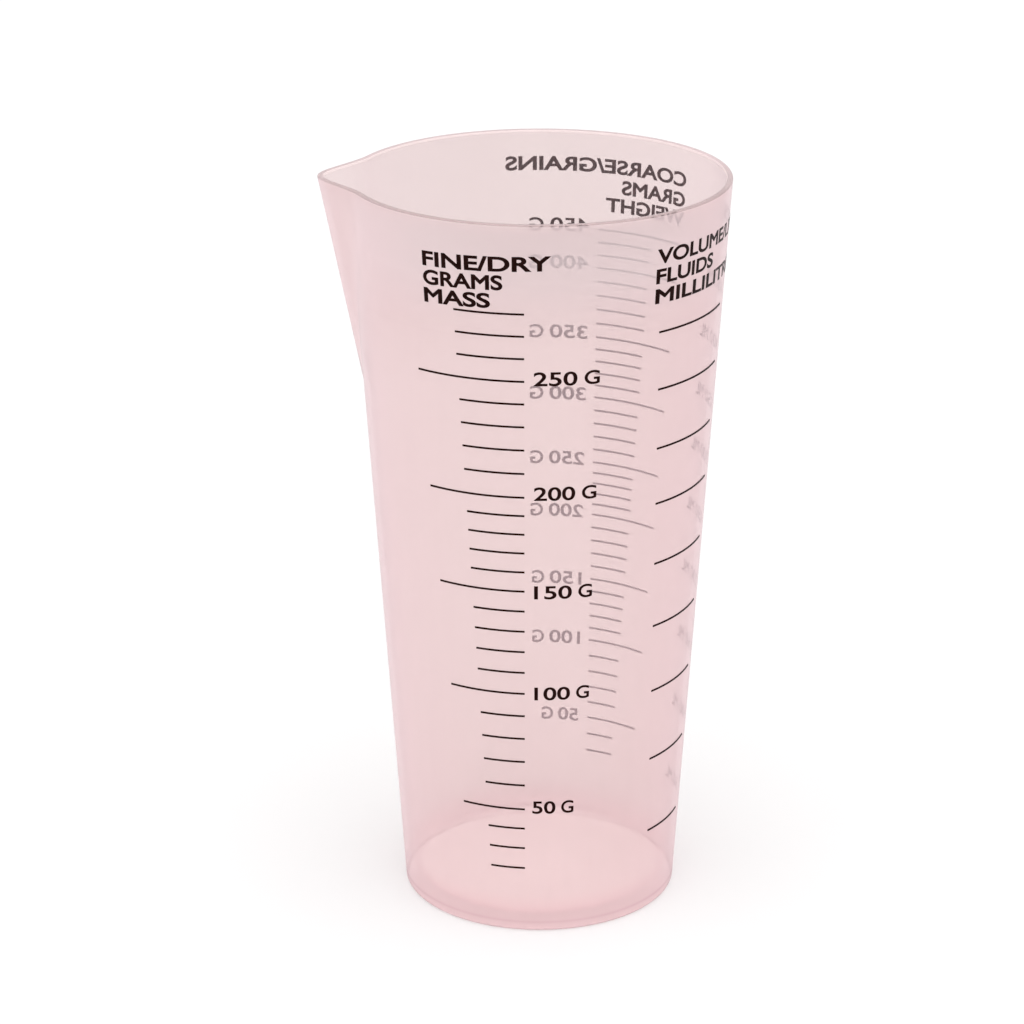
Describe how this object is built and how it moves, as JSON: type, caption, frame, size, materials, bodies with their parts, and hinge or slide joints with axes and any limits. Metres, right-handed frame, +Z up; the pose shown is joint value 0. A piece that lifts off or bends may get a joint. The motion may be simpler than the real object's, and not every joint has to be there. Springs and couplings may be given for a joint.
{
  "type": "measuring jug",
  "caption": "Translucent conical measuring jug with a pouring spout in its plain rim and printed scales for powder, sugar and liquid on the outside of the wall.",
  "frame": {"origin": "centre of the flat underside", "axes": "+Z up along the jug's axis, -X towards the pouring spout"},
  "size_m": [0.0862, 0.0802, 0.16],
  "materials": {
    "plastic": "translucent pink polypropylene, satin",
    "ink": "black printing ink, satin"
  },
  "bodies": {
    "root": {"jug_body": "plastic", "flour_line_20g": "ink", "flour_line_30g": "ink", "flour_line_40g": "ink", "flour_line_50g": "ink", "flour_line_60g": "ink", "flour_line_70g": "ink", "flour_line_80g": "ink", "flour_line_90g": "ink", "flour_line_100g": "ink", "flour_line_110g": "ink", "flour_line_120g": "ink", "flour_line_130g": "ink", "flour_line_140g": "ink", "flour_line_150g": "ink", "flour_line_160g": "ink", "flour_line_170g": "ink", "flour_line_180g": "ink", "flour_line_190g": "ink", "flour_line_200g": "ink", "flour_line_210g": "ink", "flour_line_220g": "ink", "flour_line_230g": "ink", "flour_line_240g": "ink", "flour_line_250g": "ink", "flour_line_260g": "ink", "flour_line_270g": "ink", "flour_line_280g": "ink", "liquid_line_50ml": "ink", "liquid_line_100ml": "ink", "liquid_line_150ml": "ink", "liquid_line_200ml": "ink", "liquid_line_250ml": "ink", "liquid_line_300ml": "ink", "liquid_line_350ml": "ink", "liquid_line_400ml": "ink", "liquid_line_450ml": "ink", "sugar_line_50g": "ink", "sugar_line_100g": "ink", "sugar_line_150g": "ink", "sugar_line_200g": "ink", "sugar_line_250g": "ink", "sugar_line_300g": "ink", "sugar_line_350g": "ink", "sugar_line_400g": "ink", "sugar_line_450g": "ink"}
  },
  "joints": []
}
